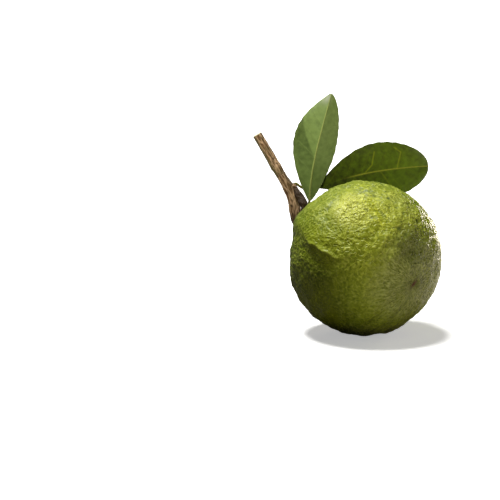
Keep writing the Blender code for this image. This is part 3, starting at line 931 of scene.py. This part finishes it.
class LeafShape:
    """A leaf's blade: a midrib curve, the way its seen face looks, and its outline.

    midrib      the four control points of a cubic curve, in millimetres
    faces       the way the seen face looks at the base and at the tip
    halves      of the left and the right half: the greatest width in millimetres, where along
                the leaf that is, and how blunt the oval is towards the base and the tip
    fold        how far the halves bend towards the seen face, in degrees
    ripple      the height of the edge's waves in millimetres
    waves       how many of them there are from base to tip
    under_seen  whether the seen face is the underside, which carries the raised midrib
    veins       for each side vein how strongly it shows, and its stops as shares of the way
                along the leaf and of the way out
    """

    def __init__(self, midrib, faces, halves, fold, ripple, waves, under_seen, veins):
        self.midrib = np.array(midrib)
        self.faces = unit(np.array(faces, dtype=float))
        self.halves = np.array(halves)
        self.fold = math.radians(fold)
        self.ripple = ripple
        self.waves = waves
        self.under = 1 if under_seen else -1
        self.veins = veins

    def centre(self, along):
        """The points of the midrib's curve."""
        a, b, c, d = self.midrib
        t = along[:, None]
        return a * (1 - t) ** 3 + b * 3 * (1 - t) ** 2 * t + c * 3 * (1 - t) * t**2 + d * t**3

    def frame(self, along):
        """The way across the leaf to the seen face's right, and the way that face looks."""
        step = 0.01  # of the length, each way
        ahead = unit(self.centre(np.minimum(along + step, 1)) - self.centre(np.maximum(along - step, 0)))
        face = self.faces[0] + (self.faces[1] - self.faces[0]) * along[:, None]
        across = unit(np.cross(ahead, face))
        return across, np.cross(across, ahead)

    def half_width(self, along, out):
        """A smooth oval, never quite closed at its ends: a half turn of a sine, drawn out so
        that its crest is at the widest place, to a power that is less than 1 for a blunt end.
        Scallops whose pace wavers run along its edge."""
        greatest, widest, blunt_base, blunt_tip = self.halves[(out > 0).astype(int)].T
        turn = along ** (math.log(0.5) / np.log(widest))
        oval = np.maximum(0, np.sin(np.pi * turn)) ** np.where(along < widest, blunt_base, blunt_tip)
        scallops = SCALLOP_HEIGHT * np.sin(2 * np.pi * SCALLOPS * along + 2 * np.sin(9 * along)) * oval
        return LEAST_HALF_WIDTH + (greatest - LEAST_HALF_WIDTH) * oval + scallops

    def middle(self, along, out, lift):
        """The blade's middle surface, lifted towards the seen face. out runs from -1 at the left
        edge to 1 at the right."""
        across, face = self.frame(along)
        width = np.abs(out) * self.half_width(along, out)
        wave = np.sin(2 * np.pi * (self.waves * along + 0.3 * np.sign(out)))
        rise = width * math.sin(self.fold) + self.ripple * out * out * wave * np.sin(np.pi * along)
        sideways = np.sign(out) * width * math.cos(self.fold)
        return self.centre(along) + across * sideways[:, None] + face * (rise + lift)[:, None]


def row_of_veins(show):
    """Side veins at an even spacing on both sides, which bend towards the tip on their way."""
    starts = [(VEIN_START + VEIN_STEP * i, 1 if i % 2 else -1) for i in range(VEIN_COUNT)]
    return [
        (show, (start, 0), (start + 0.07, side * 0.45), (start + 0.12, side * 0.8))
        for start, side in starts
    ]


def vein_lines(leaf, along, out):
    """How strongly a side vein shows at each point: a bell curve of the distance from the
    nearest vein, measured in the blade's own plane."""
    length = np.linalg.norm(leaf.midrib[3] - leaf.midrib[0])
    flat = np.stack([along * length, out * leaf.half_width(along, out)], axis=-1)
    veins = np.zeros_like(along)
    for show, *stops in leaf.veins:
        stops = np.array(stops, dtype=float)
        stops = np.stack([stops[:, 0] * length, stops[:, 1] * leaf.half_width(*stops.T)], axis=-1)
        for first, last in zip(stops, stops[1:]):
            leg = last - first
            share = np.clip((flat - first) @ leg / (leg @ leg), 0, 1)
            off = np.linalg.norm(flat - first - share[:, None] * leg, axis=1)
            veins = np.maximum(veins, show * np.exp(-((off / VEIN_WIDTH) ** 2)))
    return veins


def blade(name, leaf, tone):
    """A thin closed skin round the middle surface. Each ring goes across one face and back
    over the other, with nothing between them at the edges, where the thickness, a power of
    the distance out, runs to 0. Side veins and midrib stand out on the underside. Tone gives
    at each point how light the green is, which paints shade on the blade, and how strong a
    painted reflection is."""
    along, turn = lattice(np.linspace(0, 1, LEAF_RINGS), LEAF_AROUND)
    share = turn / np.pi
    out = np.where(share < 1, 1 - 2 * share, 2 * share - 3)
    seen_side = np.where(share < 1, 1, -1)
    poles = np.array([-2, -1])
    out[poles] = 0
    veins = vein_lines(leaf, along, out)
    width = np.abs(out) * leaf.half_width(along, out)
    shoulder = np.exp(-((width / SHOULDER_WIDTH) ** 2)) * (1 - 0.7 * along)
    raised = leaf.under * (VEIN_HEIGHT * veins + SHOULDER_HEIGHT * shoulder)
    half_thick = LEAF_THICKNESS / 2 * (1 - np.abs(out) ** 5)
    half_thick *= 1 - 0.5 * smoothstep(MARGIN_START, 1, np.abs(out))
    half_thick[poles] = 0
    lift = raised + seen_side * half_thick
    under = (seen_side * leaf.under > 0) * 1.0
    midrib = np.exp(-((width / np.interp(along, (0, 1), MIDRIB_WIDTHS)) ** 2))
    midrib *= np.where(under > 0, 1, smoothstep(*MIDRIB_SHOWS, along))
    light, painted_reflection = tone(along, out)
    marks = {
        "veins": veins, "under": under, "midrib": midrib,
        "light": light, "painted_reflection": painted_reflection, "woody": np.zeros_like(along),
    }
    return skin(name, leaf.middle(along, out, lift), LEAF_AROUND, leaf_skin, marks)


def stalk(name, leaf, route):
    """The petiole and the midrib that it runs on as, a tube half sunk in the blade."""
    thick, thin = PETIOLE_DIAMETERS
    share = np.arange(MIDRIB_STEPS + 1) / MIDRIB_STEPS
    along = MIDRIB_REACH * share
    _, face = leaf.frame(along)
    offset = leaf.under * MIDRIB_OFFSET * smoothstep(0, 1 / MIDRIB_STEPS, share)
    rib = leaf.centre(along) + face * offset[:, None]
    radii = [(thick + (thin - thick) * i / len(route)) / 2 for i in range(len(route))]
    radii += list((thin + (MIDRIB_END_DIAMETER - thin) * share**0.6) / 2)
    curve = round_ends(*follow([*route, *rib], radii))
    ring, turn, out, middle, radius = tube(curve, STALK_AROUND, STALK_UPRIGHT)
    petiole = np.linalg.norm(np.diff([*route, rib[0]], axis=0), axis=1).sum()
    past_petiole = curve[3][ring] - petiole
    flat = np.zeros_like(turn)
    marks = {
        "veins": flat, "under": flat + (leaf.under > 0), "light": flat + 0.3, "painted_reflection": flat,
        "midrib": np.maximum(leaf.under, smoothstep(*MIDRIB_PALES, past_petiole)),
        "woody": 1 - smoothstep(*PETIOLE_ENDS, past_petiole),
    }
    return skin(name, middle + out * radius[:, None], STALK_AROUND, leaf_skin, marks)


# Citrus leaf: leathery, with a thick wax on the upper side, dark and glossy, and a thin one on
# the underside, greyer and almost matte. The midrib is yellowish on both, and the side veins
# show as fine paler lines.
leaf_skin, leaf_shader = new_material("leathery_citrus_leaf", IOR=1.45)
leaf_where = add_node(leaf_skin, "TexCoord").outputs["Object"]
leaf_mark = {
    name: add_node(leaf_skin, "Attribute", attribute_name=name).outputs["Fac"]
    for name in ("under", "veins", "midrib", "light", "painted_reflection", "woody")
}
underside = leaf_mark["under"]
leaf_noise = add_node(
    leaf_skin, "TexNoise", {"Vector": leaf_where, "Scale": 1000 / MOTTLE_SPACING, "Detail": 4.0},
).outputs["Fac"]
mottled = add_node(
    leaf_skin, "MapRange",
    {"Value": leaf_noise, "From Min": 0.25, "From Max": 0.75, "To Min": -0.35, "To Max": 0.35},
)
lightness = add_node(
    leaf_skin, "Math", {0: leaf_mark["light"], 1: mottled.outputs["Result"]}, operation="ADD",
).outputs[0]
upper_tone = add_node(leaf_skin, "ValToRGB", {"Fac": lightness}, stops=((0.0, "#2C320A"), (1.0, "#566A13")))
under_tone = add_node(leaf_skin, "ValToRGB", {"Fac": lightness}, stops=((0.0, "#43521F"), (1.0, "#687A3A")))

# Green, veins and midrib each have one tone on the upper side and another on the underside
two_sided = {
    name: add_node(leaf_skin, "Mix", {0: underside, 6: upper, 7: lower}, data_type="RGBA").outputs[2]
    for name, upper, lower in (
        ("green", upper_tone.outputs["Color"], under_tone.outputs["Color"]),
        ("veins", linear("#7D8418"), linear("#7A8B48")),
        ("midrib", linear("#85862A"), linear("#848E46")),
    )
}
leaf_colour = layered(leaf_skin, two_sided["green"], (
    (leaf_mark["veins"], 1.0, two_sided["veins"]),
    # A painted reflection, grey, near the upright leaf's tip
    (leaf_mark["painted_reflection"], 1.0, linear("#9E9E8E")),
    (leaf_mark["midrib"], 1.0, two_sided["midrib"]),
    (leaf_mark["woody"], 1.0, linear("#5E5A26")),
))
leaf_skin.node_tree.links.new(leaf_colour, leaf_shader.inputs["Base Color"])
leaf_gloss = add_node(leaf_skin, "MapRange", {"Value": underside, "To Min": 0.33, "To Max": 0.55})
leaf_skin.node_tree.links.new(leaf_gloss.outputs["Result"], leaf_shader.inputs["Roughness"])
leaf_bump = add_node(leaf_skin, "Bump", {"Height": leaf_noise, "Strength": 0.3, "Distance": 0.0003})
leaf_skin.node_tree.links.new(leaf_bump.outputs["Normal"], leaf_shader.inputs["Normal"])

upright_leaf = LeafShape(
    midrib=((-26.9, 37.9, 61.2), (-26.3, 38.1, 80.6), (-20.6, 41.6, 98.0), (-15.3, 50.4, 116.1)),
    faces=((0.05, -1, 0.10), (0.25, -0.94, 0.40)),
    halves=((13.3, 0.57, 0.76, 0.92), (11.3, 0.55, 0.56, 0.55)),
    fold=-22,
    ripple=0.5,
    waves=2.2,
    under_seen=True,
    veins=row_of_veins(0.22),
)
side_leaf = LeafShape(
    midrib=((-22.2, 44.8, 67.1), (-4.2, 43.7, 75.0), (15.7, 40.7, 78.2), (34.8, 38.9, 79.4)),
    faces=((0.0, -1, 0.12), (0.10, -1, -0.05)),
    halves=((15.4, 0.58, 0.75, 0.5), (14.8, 0.58, 0.85, 0.50)),
    fold=10,
    ripple=0.6,
    waves=1.8,
    under_seen=False,
    veins=(
        *row_of_veins(0.08),
        (0.60, (0.43, 0), (0.51, -0.25), (0.55, -0.70)),
        (0.60, (0.72, 0), (0.77, -0.65), (0.72, -0.80)),
        (0.35, (0.57, 0), (0.66, 0.68)),
    ),
)


def painted_crease_shade(along, out):
    """Painted shade darkens the left margin, outside a crease that runs straight from the midrib
    to the margin, and a painted reflection pales the blade near the tip."""
    crease = (CREASE_AT_MIDRIB - along) / (CREASE_AT_MARGIN - CREASE_AT_MIDRIB)
    margin = smoothstep(0, 0.10, crease - out) * smoothstep(0.15, 0.50, along) * (out < 0)
    painted_reflection = 0.55 * np.exp(-(((along - 0.95) / 0.05) ** 2) - ((out + 0.4) / 0.45) ** 2)
    return 0.85 - 0.7 * margin, painted_reflection


def shaded(along, out):
    """Painted shade: dark near the stalk, and lighter towards the tip and the lower margin."""
    light = 0.15 + 0.55 * smoothstep(0.10, 0.95, along) + 0.15 * out * smoothstep(0.5, 0.8, along)
    return light, np.zeros_like(along)


for name, leaf, tone, route in (
    ("upright_leaf", upright_leaf, painted_crease_shade, UPRIGHT_PETIOLE_ROUTE),
    ("side_leaf", side_leaf, shaded, SIDE_PETIOLE_ROUTE),
):
    for piece in (blade(name + "_blade", leaf, tone), stalk(name + "_stalk", leaf, route)):
        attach(piece, "root")
        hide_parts(name)
